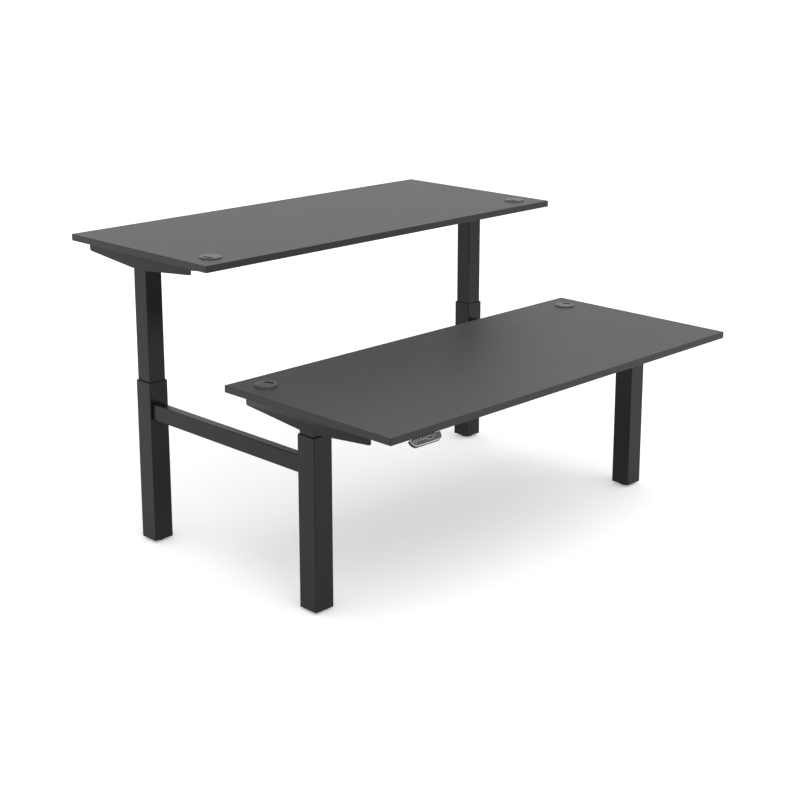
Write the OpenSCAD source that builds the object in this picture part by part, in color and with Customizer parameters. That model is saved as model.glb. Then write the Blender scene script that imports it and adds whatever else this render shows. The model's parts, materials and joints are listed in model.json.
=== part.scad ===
// Back-to-back sit-stand bench: two electric desks on one shared pair of H-shaped end frames.
// Units are millimetres. +Z is up and the floor is z = 0. The long edges run along X.
// The front desk's user sits at -Y and the rear desk's user at +Y. The rear desk is the front
// desk turned half a turn about Z. Each desk is drawn at its lowest height and then lifted.

/* [Desktops] */
// Length of each desktop
top_w = 1800; // [1400:10:2000]
// Depth of each desktop, from the user's edge to the inner edge
top_d = 800; // [780:10:900]
// Thickness of the board
top_t = 25; // [18:1:30]
// Clear gap between the inner edges of the two desktops
desk_gap = 80; // [60:5:160]
// Corner radius of a desktop in plan
top_corner_r = 3; // [2.5:0.5:10]
// Thickness of the glued edge band
band_t = 2; // [1:0.5:2]

/* [Heights] */
// How far the front desk is raised above its lowest height
front_lift = 10; // [0:5:480]
// How far the rear desk is raised above its lowest height
rear_lift = 410; // [0:5:480]
// Full travel of each desk
stroke = 480; // [300:10:480]
// Gap left between the arms and the outer columns at the lowest height
closing_gap = 5; // [3:1:20]

/* [Columns] */
// Length of the outer column tubes
col_len = 605; // [605:5:650]
// Side of the square outer column
col_w = 80; // [78:1:84]
// Wall of the outer column
col_wall = 2; // [1.5:0.5:2]
// Outside corner radius of the outer column
col_r = 3; // [2.5:0.5:6]
// Side of the square inner column
inner_w = 70; // [68:0.5:70]
// Wall of the inner column
inner_wall = 2; // [1.5:0.5:2.5]
// Outside corner radius of the inner column
inner_r = 2.5; // [2.5:0.5:6]
// Distance of the column's axis from the desktop's end
leg_inset = 49; // [46:1:80]
// Thickness of the plate welded into the column's foot
foot_plate_t = 5; // [4:1:6]
// Thickness of the plate welded on the inner column's head
head_plate_t = 6; // [5:1:8]
// Height of the plastic guides between the two tubes
guide_h = 40; // [25:5:50]
// How deep the upper guide sits under the column's rim
guide_recess = 1.5; // [0.5:0.5:4]
// Length of inner column left inside the outer one at full height
tube_overlap = 115; // [105:5:115]

/* [Levelling feet] */
// Height of a foot that shows under its column when screwed right in
foot_gap = 10; // [8:1:16]
// Radius of the foot's pad
pad_r = 26; // [18:1:30]
// Radius of the threaded stem
stem_r = 5; // [4:1:6]
// Height of the nut welded on the foot plate
foot_nut_h = 10; // [8:1:12]

/* [Side beams] */
// Width of the side beam across X
beam_w = 35; // [30:1:40]
// Height of the side beam
beam_h = 60; // [40:5:80]
// Wall of the side beam
beam_wall = 2; // [1.5:0.5:3]
// Distance from the column's rim down to the beam's top
beam_drop = 78; // [60:1:200]
// Setback of the beam's outer face from the column's outer face
beam_setback = 10; // [0:1:20]
// Length of the spigot that carries each end of the beam
spigot_len = 60; // [50:5:90]
// Wall of the spigot
spigot_wall = 3; // [2.5:0.5:4]

/* [Arms and rails] */
// Length of an arm along the desktop's depth
arm_len = 600; // [500:10:640]
// Depth of an arm at the column
arm_depth = 50; // [45:1:60]
// Depth of an arm at its ends
arm_tip_depth = 25; // [20:1:30]
// Thickness of the arm's folded sheet
arm_sheet = 2.5; // [2:0.5:3]
// Corner radius at the arm's lower ends
arm_tip_r = 7; // [4:1:9]
// Width of a cross rail across the desktop's depth
rail_w = 25; // [20:1:30]
// Height of a cross rail
rail_h = 35; // [30:1:38]
// Wall of a cross rail
rail_wall = 2; // [1.5:0.5:2.5]
// Distance of each cross rail's axis from the column's axis
rail_offset = 90; // [65:5:130]

/* [Drive] */
// Height of the block that holds the motor in the column's head
motor_mount_h = 30; // [28:1:36]
// Radius of the motor can
motor_r = 26; // [20:1:28]
// Length of the motor can
motor_len = 44; // [36:1:50]
// Radius of the gearbox
gearbox_r = 28; // [24:1:30]
// Length of the gearbox
gearbox_len = 35; // [30:1:40]
// Radius of the spindle
spindle_r = 8; // [6:0.5:9]
// Length of the spindle nut above its pillar
nut_len = 30; // [25:1:35]
// Outside radius of the pillar that carries the nut
pillar_r = 16; // [15:1:20]
// Wall of the pillar
pillar_wall = 4; // [3:0.5:4]

/* [Cable ports] */
// Distance of a port's axis from the desktop's end and from its inner edge
port_inset = 100; // [90:5:120]
// Radius of the hole through the board
port_hole_r = 36; // [35:0.5:37]
// Radius of the lid and of the liner's flange
port_flange_r = 39.5; // [39:0.5:46]
// Wall of the liner's tube
liner_wall = 3; // [2:0.5:4]
// Thickness of the liner's flange
liner_flange_t = 1.5; // [1:0.5:2]
// Thickness of the lid above the board
lid_t = 4.5; // [3.5:0.1:6.5]
// Depth of the lid's skirt inside the liner
lid_skirt_h = 8; // [5:1:12]
// Length of the cable slot in the lid
slot_len = 36; // [24:1:38]
// Width of the cable slot in the lid
slot_w = 14; // [8:1:16]
// Distance of the slot's middle from the lid's axis
slot_offset = 19.5; // [14:0.5:20]
// How far the lids are turned from square to the desktop
lid_turn = 18; // [0:1:45]

/* [Handset] */
// Length of the handset along the desktop's edge
handset_w = 135; // [131:1:150]
// Height of the handset's face, along its slope
handset_h = 26.5; // [26:0.5:34]
// Thickness of the handset's case
handset_t = 12; // [10:0.5:14]
// Corner radius of the face's lower corners
handset_r = 20; // [12:1:22]
// Angle of the handset's face below the horizontal
handset_tilt = 43; // [25:1:50]
// Distance of the handset's middle from the desktop's end
handset_inset = 148.5; // [135:0.5:300]
// Side of a square key
key_w = 9; // [8:0.5:11.5]
// Distance between the middles of two keys
key_pitch = 14.5; // [14:0.5:15.5]
// Distance from the face's upper edge to the middles of the keys
key_drop = 8.5; // [8:0.5:13]
// Distance from the handset's end to the middle of the first key
key_margin = 16; // [15.5:0.5:22]
// How far a key stands proud of the face
key_proud = 0.6; // [0.4:0.1:0.8]
// How far a key travels when it is pressed
key_travel = 0.8; // [0.5:0.1:0.8]
// Length of the display window
display_w = 20; // [18:1:30]
// Height of the display window
display_h = 10; // [9:1:14]
// Distance from the face's upper edge to the middle of the display
display_drop = 10.5; // [8.5:0.5:14]
// Distance from the handset's other end to the middle of the display
display_margin = 51.5; // [40:0.5:54]

/* [Control box] */
// Length of the control box
box_w = 250; // [220:5:300]
// Depth of the control box
box_d = 100; // [90:5:120]
// Height of the control box
box_h = 36; // [32:1:45]
// Distance of the control box's middle from the desktop's inner edge
box_inset = 190; // [180:5:230]
// Wall of the control box
box_wall = 2; // [1.5:0.5:2.5]

/* [Fits] */
// Radial clearance of a pin or spindle that turns in a bore
run_fit = 0.05; // [0.02:0.01:0.08]
// Clearance between parts that slide or lift away
slide_gap = 0.3; // [0.2:0.05:0.5]

/* [Hidden] */
$fn = 48;

powder_black = [0.09, 0.09, 0.095];
board_grey = [0.18, 0.18, 0.18];
band_black = [0.08, 0.08, 0.08];
plastic_black = [0.05, 0.05, 0.05];
plastic_grey = [0.2, 0.2, 0.21];
steel_bright = [0.6, 0.6, 0.62];
motor_grey = [0.35, 0.36, 0.38];
nut_white = [0.85, 0.84, 0.8];
board_green = [0.05, 0.25, 0.12];
glass_dark = [0.02, 0.02, 0.03];

// Length by which a cutter runs past the face that it cuts
past = 1;
// Gap between two shells of one case
seam = 0.15;

// Plan positions
leg_x = top_w / 2 - leg_inset;
leg_y = desk_gap / 2 + top_d / 2;
edge_inner = desk_gap / 2;
edge_user = desk_gap / 2 + top_d;
port_x = top_w / 2 - port_inset;
port_y = -edge_inner - port_inset;

// Heights of the fixed frame
rim_z = foot_gap + col_len;
foot_plate_top = foot_gap + foot_plate_t;
beam_z = rim_z - beam_drop - beam_h / 2;

// Heights of a desk at its lowest
under_z = rim_z + closing_gap + arm_depth;
head_top = under_z - arm_sheet;
inner_top = head_top - head_plate_t;
inner_bottom = rim_z - tube_overlap - stroke;

// Tube sections
col_bore = col_w - 2 * col_wall;
inner_bore = inner_w - 2 * inner_wall;
arm_w = inner_w + 2 * arm_sheet;
cable_hole_r = 8;

// Side beam: it slides on the columns' spigots
beam_x = col_w / 2 - beam_setback - beam_w / 2;
beam_len = 2 * (leg_y - col_w / 2);
beam_r = 3;
spigot_gap = 0.2;
spigot_r = 2;
spigot_w = beam_w - 2 * beam_wall - 2 * spigot_gap;
spigot_h = beam_h - 2 * beam_wall - 2 * spigot_gap;
beam_nut_r = 6;
beam_nut_h = 8;

// Drive, from the column's head down
mount_gap = 0.2;
mount_r = 3;
motor_top = inner_top - motor_mount_h;
motor_bottom = motor_top - motor_len;
gearbox_bottom = motor_bottom - gearbox_len;
nut_gap = 2.5;
nut_bottom = gearbox_bottom - nut_gap - nut_len;
nut_flange_t = 6;
nut_spigot_h = 14;
nut_step = 2;
spindle_setback = 14;
spindle_bottom = inner_bottom + spindle_setback;
journal_step = 2;
journal_r = spindle_r - journal_step;
journal_len = 20;

// Levelling foot
stem_past_nut = 5;
stem_top = foot_plate_top + foot_nut_h + stem_past_nut;
foot_nut_wall = 3;
foot_nut_r = stem_r + foot_nut_wall;

// Machine screws: one size joins the whole frame
screw_r = 3;
screw_len = 12;
screw_head_r = 5.25;
screw_head_t = 3.3;
screw_head_taper = 2;
screw_key_r = 2.3;
screw_key_depth = 2;
hole_gap = 0.3;
arm_screw_pitch_y = 44;
arm_screw_pitch_z = 16;
arm_screw_drop = 24;
beam_screw_in = 18;
beam_screw_pitch = 27;
rail_plug_t = 14;
rail_r = 2.5;

// Wood screws: one size fixes everything to the board
wood_screw_r = 2.5;
wood_screw_bite = 14;
wood_head_r = 5;
wood_head_t = 3;
wood_head_taper = 1;
arm_wood_first = 80;
arm_wood_pitch = 85;
arm_wood_count = 3;

// Handset
key_skin = 2;
key_flange_w = 1;
key_flange_t = 0.8;
key_r = 1.2;
upper_t = key_skin + slide_gap + key_flange_t + key_travel + slide_gap;
shell_wall = 1.6;
display_t = 1.2;
display_lip = 2;
display_r = 2;
pcb_t = 1;
pcb_inset = 4;
handset_x = -(top_w / 2 - handset_inset);
handset_ahead = 1;
handset_y = -edge_user - handset_ahead;
key_names = ["down", "up", "memory"];
bracket_t = 2.5;
bracket_w = 100;
bracket_reach = 36;
bracket_screw_x = 38;
bracket_screw_y = 24;

// Control box
box_y = -edge_inner - box_inset;
box_r = 4;
cover_h = 12;
tab_w = 16;
tab_t = 3;
tab_span = 70;
tab_root = 1.5;
post_r = 4;
post_h = 3.4;
post_in = 12;
board_t = 1.6;
board_gap = 1;
board_top = under_z - box_h + box_wall + post_h + board_t;
socket_proud = 2;
socket_depth = 18;
pin_w = 2;
pin_h = 4;
pin_pitch = 7;
// Sockets on the box's inner side: [x, block width, block height, mouth width, mouth height, depth]
mains_inlet = [-80, 30, 22, 24, 16, 14];
motor_sockets = [[-20, 18, 14, 12, 9, 9], [15, 18, 14, 12, 9, 9]];
handset_socket = [80, 14, 12, 9, 7, 8];
sockets = concat([mains_inlet], motor_sockets, [handset_socket]);
// Blocks on the circuit board, a transformer, a heat sink and a relay: [x, y, width, depth, height]
board_blocks = [[-75, -15, 56, 44, 22], [10, -20, 60, 10, 18], [75, -10, 22, 16, 14]];
// Capacitors on the circuit board: [x, y]
capacitors = [[-25, -20], [45, 5]];
capacitor_r = 8;
capacitor_h = 20;

// ---------------------------------------------------------------- placing

// The rear half of the bench is the front half turned half a turn
module in_half(desk) {
    rotate([0, 0, desk == "rear" ? 180 : 0]) children();
}

// Lifts a desk's parts from the lowest height to the height it stands at
module in_desk(desk) {
    translate([0, 0, min(desk == "rear" ? rear_lift : front_lift, stroke)])
        in_half(desk) children();
}

// The end of the front half that becomes the named end of the bench
function end_of(desk, side) = (side == "left" ? -1 : 1) * (desk == "rear" ? -1 : 1);

module at_leg(end) {
    translate([end * leg_x, -leg_y, 0]) children();
}

module each_leg() {
    for (desk = ["front", "rear"], end = [-1, 1]) in_half(desk) at_leg(end) children();
}

// Turns +Z towards the middle of the bench from the end given
module inwards(end) {
    rotate([0, -90 * end, 0]) children();
}

module outwards(end) {
    rotate([0, 90 * end, 0]) children();
}

// ---------------------------------------------------------------- shared shapes

module rounded_rect(w, d, r) {
    square([w - 2 * r, d], center = true);
    square([w, d - 2 * r], center = true);
    for (sx = [-1, 1], sy = [-1, 1])
        translate([sx * (w / 2 - r), sy * (d / 2 - r)]) circle(r = r);
}

// The radius inside a rounded corner of a wall
function inside_r(r, wall) = max(r - wall, 0.5);

module tube_section(w, d, r, wall) {
    difference() {
        rounded_rect(w, d, r);
        rounded_rect(w - 2 * wall, d - 2 * wall, inside_r(r, wall));
    }
}

// Profile drawn out along Y or X, centred on the origin
module along_y(length) {
    rotate([90, 0, 0]) translate([0, 0, -length / 2]) linear_extrude(length) children();
}

module along_x(length) {
    rotate([90, 0, 90]) translate([0, 0, -length / 2]) linear_extrude(length) children();
}

// Button-head machine screw: the seat is at z = 0 and the head stands up
module machine_screw() {
    translate([0, 0, -screw_len]) cylinder(r = screw_r, h = screw_len);
    difference() {
        cylinder(r1 = screw_head_r, r2 = screw_head_r - screw_head_taper, h = screw_head_t);
        translate([0, 0, screw_head_t - screw_key_depth])
            cylinder(r = screw_key_r, h = screw_key_depth + past, $fn = 6);
    }
}

// Tapped hole for a machine screw, and the loose hole in the sheet over it
module tapped_hole(depth) {
    translate([0, 0, -depth]) cylinder(r = screw_r, h = depth + past);
}

module loose_hole(depth) {
    translate([0, 0, -depth]) cylinder(r = screw_r + hole_gap, h = depth + past);
}

// ---------------------------------------------------------------- fixed frame

// Places what belongs to each screw of a beam, from the beam's own middle
module each_beam_screw() {
    for (way = [-1, 1], step = [0, 1])
        translate([0, way * (beam_len / 2 - beam_screw_in - step * beam_screw_pitch), 0]) children();
}

module column_spigot(end) {
    embed = col_wall / 2;
    length = spigot_len + embed;
    translate([end * beam_x, col_w / 2 - embed, beam_z]) difference() {
        translate([0, length / 2, 0]) along_y(length)
            tube_section(spigot_w, spigot_h, spigot_r, spigot_wall);
        for (step = [0, 1])
            translate([-end * spigot_w / 2, embed + beam_screw_in + step * beam_screw_pitch, 0])
                inwards(end) tapped_hole(spigot_wall + past);
    }
}

module outer_column(desk, side) {
    end = end_of(desk, side);
    nut_top = foot_plate_t + foot_nut_h;
    color(powder_black) in_half(desk) at_leg(end) {
        difference() {
            translate([0, 0, foot_gap]) union() {
                linear_extrude(col_len) tube_section(col_w, col_w, col_r, col_wall);
                linear_extrude(foot_plate_t)
                    rounded_rect(col_w - col_wall, col_w - col_wall, col_r - col_wall / 2);
                cylinder(r = foot_nut_r, h = nut_top);
            }
            translate([0, 0, foot_gap - past]) cylinder(r = stem_r + run_fit, h = nut_top + 2 * past);
        }
        column_spigot(end);
    }
}

// Beam between two columns, with a blind nut in the middle of its top
module side_beam(side) {
    end = side == "left" ? -1 : 1;
    nut_z = beam_h / 2 - beam_wall - beam_nut_h;
    color(powder_black) translate([end * (leg_x + beam_x), 0, beam_z]) difference() {
        union() {
            along_y(beam_len) tube_section(beam_w, beam_h, beam_r, beam_wall);
            translate([0, 0, nut_z]) cylinder(r = beam_nut_r, h = beam_nut_h + beam_wall / 2);
        }
        translate([0, 0, nut_z - past]) cylinder(r = screw_r, h = beam_nut_h + beam_wall + 2 * past);
        each_beam_screw() translate([-end * beam_w / 2, 0, 0]) inwards(end)
            loose_hole(beam_wall + past);
    }
}

module beam_screws() {
    color(steel_bright) for (end = [-1, 1])
        translate([end * (leg_x + beam_x), 0, beam_z]) each_beam_screw()
            translate([-end * beam_w / 2, 0, 0]) inwards(end) machine_screw();
}

// Tube that stands on the foot plate, round the foot's nut, and carries the spindle nut
module nut_pillars() {
    color(steel_bright) each_leg() translate([0, 0, foot_plate_top])
        linear_extrude(nut_bottom - foot_plate_top) difference() {
            circle(r = pillar_r);
            circle(r = pillar_r - pillar_wall);
        }
}

module spindle_nuts() {
    color(nut_white) each_leg() translate([0, 0, nut_bottom]) difference() {
        union() {
            cylinder(r = pillar_r, h = nut_flange_t);
            cylinder(r = pillar_r - nut_step, h = nut_len);
            translate([0, 0, -nut_spigot_h])
                cylinder(r = pillar_r - pillar_wall, h = nut_spigot_h + past);
        }
        translate([0, 0, -nut_spigot_h - past])
            cylinder(r = spindle_r + run_fit, h = nut_spigot_h + nut_len + 2 * past);
    }
}

// Plastic guide just inside the rim of each outer column
module guide_collars() {
    color(plastic_black) each_leg() translate([0, 0, rim_z - guide_recess - guide_h])
        linear_extrude(guide_h) difference() {
            rounded_rect(col_bore, col_bore, inside_r(col_r, col_wall));
            rounded_rect(inner_w + 2 * slide_gap, inner_w + 2 * slide_gap, inner_r + slide_gap);
        }
}

// Pad and threaded stem in one piece; it screws out of the foot plate
module levelling_foot(desk, side) {
    chamfer = 1;
    hub_z = foot_gap - slide_gap;
    pad_edge = hub_z / 2;
    color(plastic_black) in_half(desk) at_leg(end_of(desk, side)) rotate_extrude()
        polygon([
            [0, 0], [pad_r - chamfer, 0], [pad_r, chamfer], [pad_r, pad_edge],
            [pad_r - chamfer, pad_edge + chamfer], [foot_nut_r, hub_z], [stem_r, hub_z],
            [stem_r, stem_top - chamfer], [stem_r - chamfer, stem_top], [0, stem_top]
        ]);
}

// ---------------------------------------------------------------- desktop

// Every wood screw of one desk: [x, y, height of the seat under the head]
function arm_wood_screws() = [
    for (end = [-1, 1], way = [-1, 1], step = [0 : arm_wood_count - 1])
        [end * leg_x, -leg_y + way * (arm_wood_first + step * arm_wood_pitch), under_z - arm_sheet]
];
function box_wood_screws() = [
    for (end = [-1, 1], way = [-1, 1])
        [end * (box_w + tab_w) / 2, box_y + way * tab_span / 2, under_z - tab_t]
];
function handset_wood_screws() = [
    for (way = [-1, 1])
        [handset_x + way * bracket_screw_x, handset_y + bracket_screw_y, under_z - bracket_t]
];

module wood_screw_holes(screws, r, length) {
    for (at = screws) translate([at[0], at[1], at[2] - past]) cylinder(r = r, h = length + past);
}

module desktop(desk) {
    screws = concat(arm_wood_screws(), box_wood_screws(), handset_wood_screws());
    color(board_grey) in_desk(desk) difference() {
        translate([0, -leg_y, under_z]) linear_extrude(top_t)
            rounded_rect(top_w - 2 * band_t, top_d - 2 * band_t, inside_r(top_corner_r, band_t));
        for (end = [-1, 1]) translate([end * port_x, port_y, under_z]) {
            translate([0, 0, -past]) cylinder(r = port_hole_r, h = top_t + 2 * past);
            translate([0, 0, top_t - liner_flange_t])
                cylinder(r = port_flange_r + slide_gap, h = liner_flange_t + past);
        }
        for (at = screws) translate([at[0], at[1], under_z - past])
            cylinder(r = wood_screw_r, h = wood_screw_bite + past);
    }
}

module edge_band(desk) {
    color(band_black) in_desk(desk) translate([0, -leg_y, under_z]) linear_extrude(top_t)
        difference() {
            rounded_rect(top_w, top_d, top_corner_r);
            rounded_rect(top_w - 2 * band_t, top_d - 2 * band_t, inside_r(top_corner_r, band_t));
        }
}

// Sleeve in each cable port, with a flange let into the board
module port_liners(desk) {
    bottom_gap = 2;
    color(plastic_black) in_desk(desk) for (end = [-1, 1])
        translate([end * port_x, port_y, 0]) difference() {
            union() {
                translate([0, 0, under_z + top_t - liner_flange_t])
                    cylinder(r = port_flange_r, h = liner_flange_t);
                translate([0, 0, under_z + bottom_gap])
                    cylinder(r = port_hole_r, h = top_t - bottom_gap - liner_flange_t / 2);
            }
            translate([0, 0, under_z]) cylinder(r = port_hole_r - liner_wall, h = top_t + past);
        }
}

// Turning lid with a cable slot beside its axis
module port_lid(desk, side) {
    seat = under_z + top_t + slide_gap;
    skirt_r = port_hole_r - liner_wall - run_fit;
    skirt_wall = 2;
    bevel = 1.2;
    crown_w = 5;
    crown_h = 0.3;
    color(plastic_black) in_desk(desk) translate([end_of(desk, side) * port_x, port_y, seat])
        difference() {
            union() {
                rotate_extrude() polygon([
                    [0, 0], [port_flange_r, 0], [port_flange_r, lid_t - bevel],
                    [port_flange_r - bevel, lid_t - crown_h], [port_flange_r - crown_w, lid_t], [0, lid_t]
                ]);
                translate([0, 0, -lid_skirt_h]) linear_extrude(lid_skirt_h + lid_t / 2) difference() {
                    circle(r = skirt_r);
                    circle(r = skirt_r - skirt_wall);
                }
            }
            rotate([0, 0, lid_turn]) translate([slot_offset, 0, -lid_skirt_h - past])
                linear_extrude(lid_skirt_h + lid_t + 2 * past)
                    rounded_rect(slot_w, slot_len, slot_w / 3);
        }
}

// ---------------------------------------------------------------- arms and rails

// Side view of an arm: along the depth, and down from the board's underside
module arm_profile() {
    half = arm_len / 2;
    corner_y = half - arm_tip_r;
    corner_z = arm_tip_r - arm_tip_depth;
    intersection() {
        polygon([
            [-half, 0], [half, 0], [half, -arm_tip_depth],
            [arm_w / 2, -arm_depth], [-arm_w / 2, -arm_depth], [-half, -arm_tip_depth]
        ]);
        union() {
            translate([-half, corner_z]) square([arm_len, -corner_z]);
            translate([-corner_y, -arm_depth]) square([2 * corner_y, arm_depth]);
            for (way = [-1, 1]) translate([way * corner_y, corner_z]) circle(r = arm_tip_r);
        }
    }
}

// Places what belongs to each screw between an arm and its column, on the column's inner side
module each_arm_screw(end, x) {
    for (sy = [-1, 1], sz = [-1, 1])
        translate([-end * x, sy * arm_screw_pitch_y / 2, under_z - arm_screw_drop])
            translate([0, 0, sz * arm_screw_pitch_z / 2]) children();
}

// Places what belongs to the screw into each end of a cross rail
module each_rail_screw(end) {
    for (way = [-1, 1])
        translate([-end * inner_w / 2, way * rail_offset, under_z - rail_h / 2]) outwards(end) children();
}

// Folded channel, open below, with tapered sides that close on the inner column
module arm(desk, side) {
    end = end_of(desk, side);
    port_room = 4;
    color(powder_black) in_desk(desk) difference() {
        at_leg(end) difference() {
            translate([0, 0, under_z]) along_x(arm_w) arm_profile();
            translate([-inner_w / 2, -arm_len / 2 - past, under_z - arm_sheet - arm_depth])
                cube([inner_w, arm_len + 2 * past, arm_depth]);
            each_arm_screw(end, arm_w / 2) inwards(end) loose_hole(arm_sheet + past);
            each_rail_screw(end) loose_hole(arm_sheet + past);
        }
        wood_screw_holes(arm_wood_screws(), wood_screw_r + hole_gap, arm_sheet + past);
        translate([end * port_x, port_y, under_z - arm_depth - past])
            cylinder(r = port_hole_r + port_room, h = arm_depth + 2 * past);
    }
}

module cross_rails(desk) {
    length = 2 * leg_x - arm_w;
    color(powder_black) in_desk(desk) difference() {
        for (way = [-1, 1]) translate([0, -leg_y + way * rail_offset, under_z - rail_h / 2]) {
            along_x(length) tube_section(rail_w, rail_h, rail_r, rail_wall);
            for (end = [-1, 1]) translate([end * (length - rail_plug_t) / 2, 0, 0])
                cube([rail_plug_t, rail_w - rail_wall, rail_h - rail_wall], center = true);
        }
        for (end = [-1, 1]) at_leg(end) each_rail_screw(end) tapped_hole(arm_sheet + rail_plug_t + past);
    }
}

// ---------------------------------------------------------------- lifting column

module inner_column(desk, side) {
    end = end_of(desk, side);
    color(powder_black) in_desk(desk) at_leg(end) difference() {
        union() {
            translate([0, 0, inner_bottom]) linear_extrude(inner_top - inner_bottom)
                tube_section(inner_w, inner_w, inner_r, inner_wall);
            translate([0, 0, inner_top]) linear_extrude(head_plate_t)
                rounded_rect(inner_w, inner_w, inner_r);
        }
        translate([0, 0, inner_top - past]) cylinder(r = cable_hole_r, h = head_plate_t + 2 * past);
        each_arm_screw(end, inner_w / 2) inwards(end) loose_hole(inner_wall + past);
    }
}

// Plastic shoe round the foot of each inner column
module lower_glides(desk) {
    outside = col_bore - 2 * slide_gap;
    color(plastic_black) in_desk(desk) for (end = [-1, 1]) at_leg(end)
        translate([0, 0, inner_bottom]) linear_extrude(guide_h) difference() {
            rounded_rect(outside, outside, inside_r(col_r, col_wall + slide_gap));
            rounded_rect(inner_w, inner_w, inner_r);
        }
}

// Mounting block in the column's head, the motor under it and the gearbox below
module motor_units(desk) {
    block_w = inner_bore - 2 * mount_gap;
    color(motor_grey) in_desk(desk) for (end = [-1, 1]) at_leg(end) difference() {
        union() {
            translate([0, 0, motor_top]) linear_extrude(motor_mount_h)
                rounded_rect(block_w, block_w, mount_r);
            translate([0, 0, motor_bottom]) cylinder(r = motor_r, h = motor_len + past);
            translate([0, 0, gearbox_bottom]) cylinder(r = gearbox_r, h = gearbox_len);
        }
        each_arm_screw(end, arm_w / 2) inwards(end) tapped_hole(screw_len + past);
        translate([0, 0, gearbox_bottom - past])
            cylinder(r = journal_r + run_fit, h = journal_len + 2 * past);
    }
}

// Spindle with a thinner journal that turns in the gearbox
module spindle(desk, side) {
    chamfer = 1;
    shoulder = gearbox_bottom - slide_gap;
    top = gearbox_bottom + journal_len;
    color(steel_bright) in_desk(desk) at_leg(end_of(desk, side)) rotate_extrude()
        polygon([
            [0, spindle_bottom], [spindle_r - chamfer, spindle_bottom],
            [spindle_r, spindle_bottom + chamfer], [spindle_r, shoulder],
            [journal_r, shoulder], [journal_r, top], [0, top]
        ]);
}

// ---------------------------------------------------------------- fasteners

// Pan-head screws driven up into the board
module wood_screws(desk) {
    screws = concat(arm_wood_screws(), box_wood_screws(), handset_wood_screws());
    tip_gap = 1;
    color(steel_bright) in_desk(desk) for (at = screws) translate([at[0], at[1], 0]) {
        translate([0, 0, at[2] - wood_head_t])
            cylinder(r1 = wood_head_r - wood_head_taper, r2 = wood_head_r, h = wood_head_t);
        translate([0, 0, at[2] - wood_head_t / 2])
            cylinder(r = wood_screw_r, h = under_z + wood_screw_bite - tip_gap - at[2] + wood_head_t / 2);
    }
}

// The same machine screws hold the arms on the columns and the rails on the arms
module frame_screws(desk) {
    color(steel_bright) in_desk(desk) for (end = [-1, 1]) at_leg(end) {
        each_arm_screw(end, arm_w / 2) inwards(end) machine_screw();
        each_rail_screw(end) machine_screw();
    }
}

// ---------------------------------------------------------------- handset

// The handset's own frame: x along the edge, y up the slope, z out of the face
module at_handset() {
    translate([handset_x, handset_y, under_z]) rotate([handset_tilt, 0, 0]) children();
}

// A point of that frame's y-z plane, in the desk's own directions
function on_slope(y, z) = [
    y * cos(handset_tilt) - z * sin(handset_tilt),
    y * sin(handset_tilt) + z * cos(handset_tilt)
];

// Face of the handset: square upper corners and rounded lower ones
module handset_outline(inset) {
    half = handset_w / 2 - inset;
    low = -handset_h + inset;
    r = handset_r - inset;
    intersection() {
        translate([-half, low]) square([2 * half, -inset - low]);
        union() {
            translate([-half, low + r]) square([2 * half, handset_h]);
            translate([-half + r, low]) square([2 * (half - r), handset_h]);
            for (way = [-1, 1]) translate([way * (half - r), low + r]) circle(r = r);
        }
    }
}

function key_x(name) = key_margin - handset_w / 2 + key_pitch * search([name], key_names)[0];
display_x = handset_w / 2 - display_margin;

module handset_upper_shell() {
    hole_w = key_w + 2 * slide_gap;
    difference() {
        translate([0, 0, -upper_t]) linear_extrude(upper_t) handset_outline(0);
        translate([0, 0, -upper_t - past]) linear_extrude(upper_t - key_skin + past)
            handset_outline(shell_wall);
        for (name = key_names) translate([key_x(name), -key_drop, -upper_t])
            linear_extrude(upper_t + past) rounded_rect(hole_w, hole_w, key_r + slide_gap);
        translate([display_x, -display_drop, -display_t]) linear_extrude(display_t + past)
            rounded_rect(display_w, display_h, display_r);
        translate([display_x, -display_drop, -upper_t]) linear_extrude(upper_t)
            square([display_w - 2 * display_lip, display_h - 2 * display_lip], center = true);
    }
}

// Rear shell with the circuit board's pocket and the plate that screws to the desktop
module handset_lower_shell() {
    shell_top = -upper_t - seam;
    rib_in = 2;
    rib_front = on_slope(0, shell_top - rib_in / 4);
    difference() {
        at_handset() translate([0, 0, -handset_t]) linear_extrude(handset_t + shell_top)
            handset_outline(0);
        at_handset() translate([0, 0, shell_top - pcb_t]) linear_extrude(pcb_t + past)
            handset_outline(pcb_inset);
    }
    difference() {
        translate([handset_x, handset_y, under_z]) along_x(bracket_w) polygon([
            rib_front, [rib_front[0], 0], [bracket_reach, 0], [bracket_reach, -bracket_t],
            [rib_front[0] + 2 * bracket_t, -bracket_t],
            on_slope(-rib_in, rib_in / 4 - handset_t), on_slope(-rib_in, shell_top - rib_in / 4)
        ]);
        wood_screw_holes(handset_wood_screws(), wood_screw_r + hole_gap, bracket_t + past);
    }
}

module handset_case(desk) {
    color(plastic_grey) in_desk(desk) {
        at_handset() handset_upper_shell();
        handset_lower_shell();
    }
}

// Display window on its circuit board
module handset_display(desk) {
    board_z = -upper_t - seam - pcb_t;
    stem_w = display_w - 2 * display_lip - 2 * slide_gap;
    stem_h = display_h - 2 * display_lip - 2 * slide_gap;
    color(glass_dark) in_desk(desk) at_handset() {
        translate([display_x, -display_drop, -display_t]) linear_extrude(display_t)
            rounded_rect(display_w, display_h, display_r);
        translate([0, 0, board_z]) linear_extrude(pcb_t) handset_outline(pcb_inset);
        translate([display_x, -display_drop, board_z]) linear_extrude(-display_t / 2 - board_z)
            square([stem_w, stem_h], center = true);
    }
}

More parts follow.
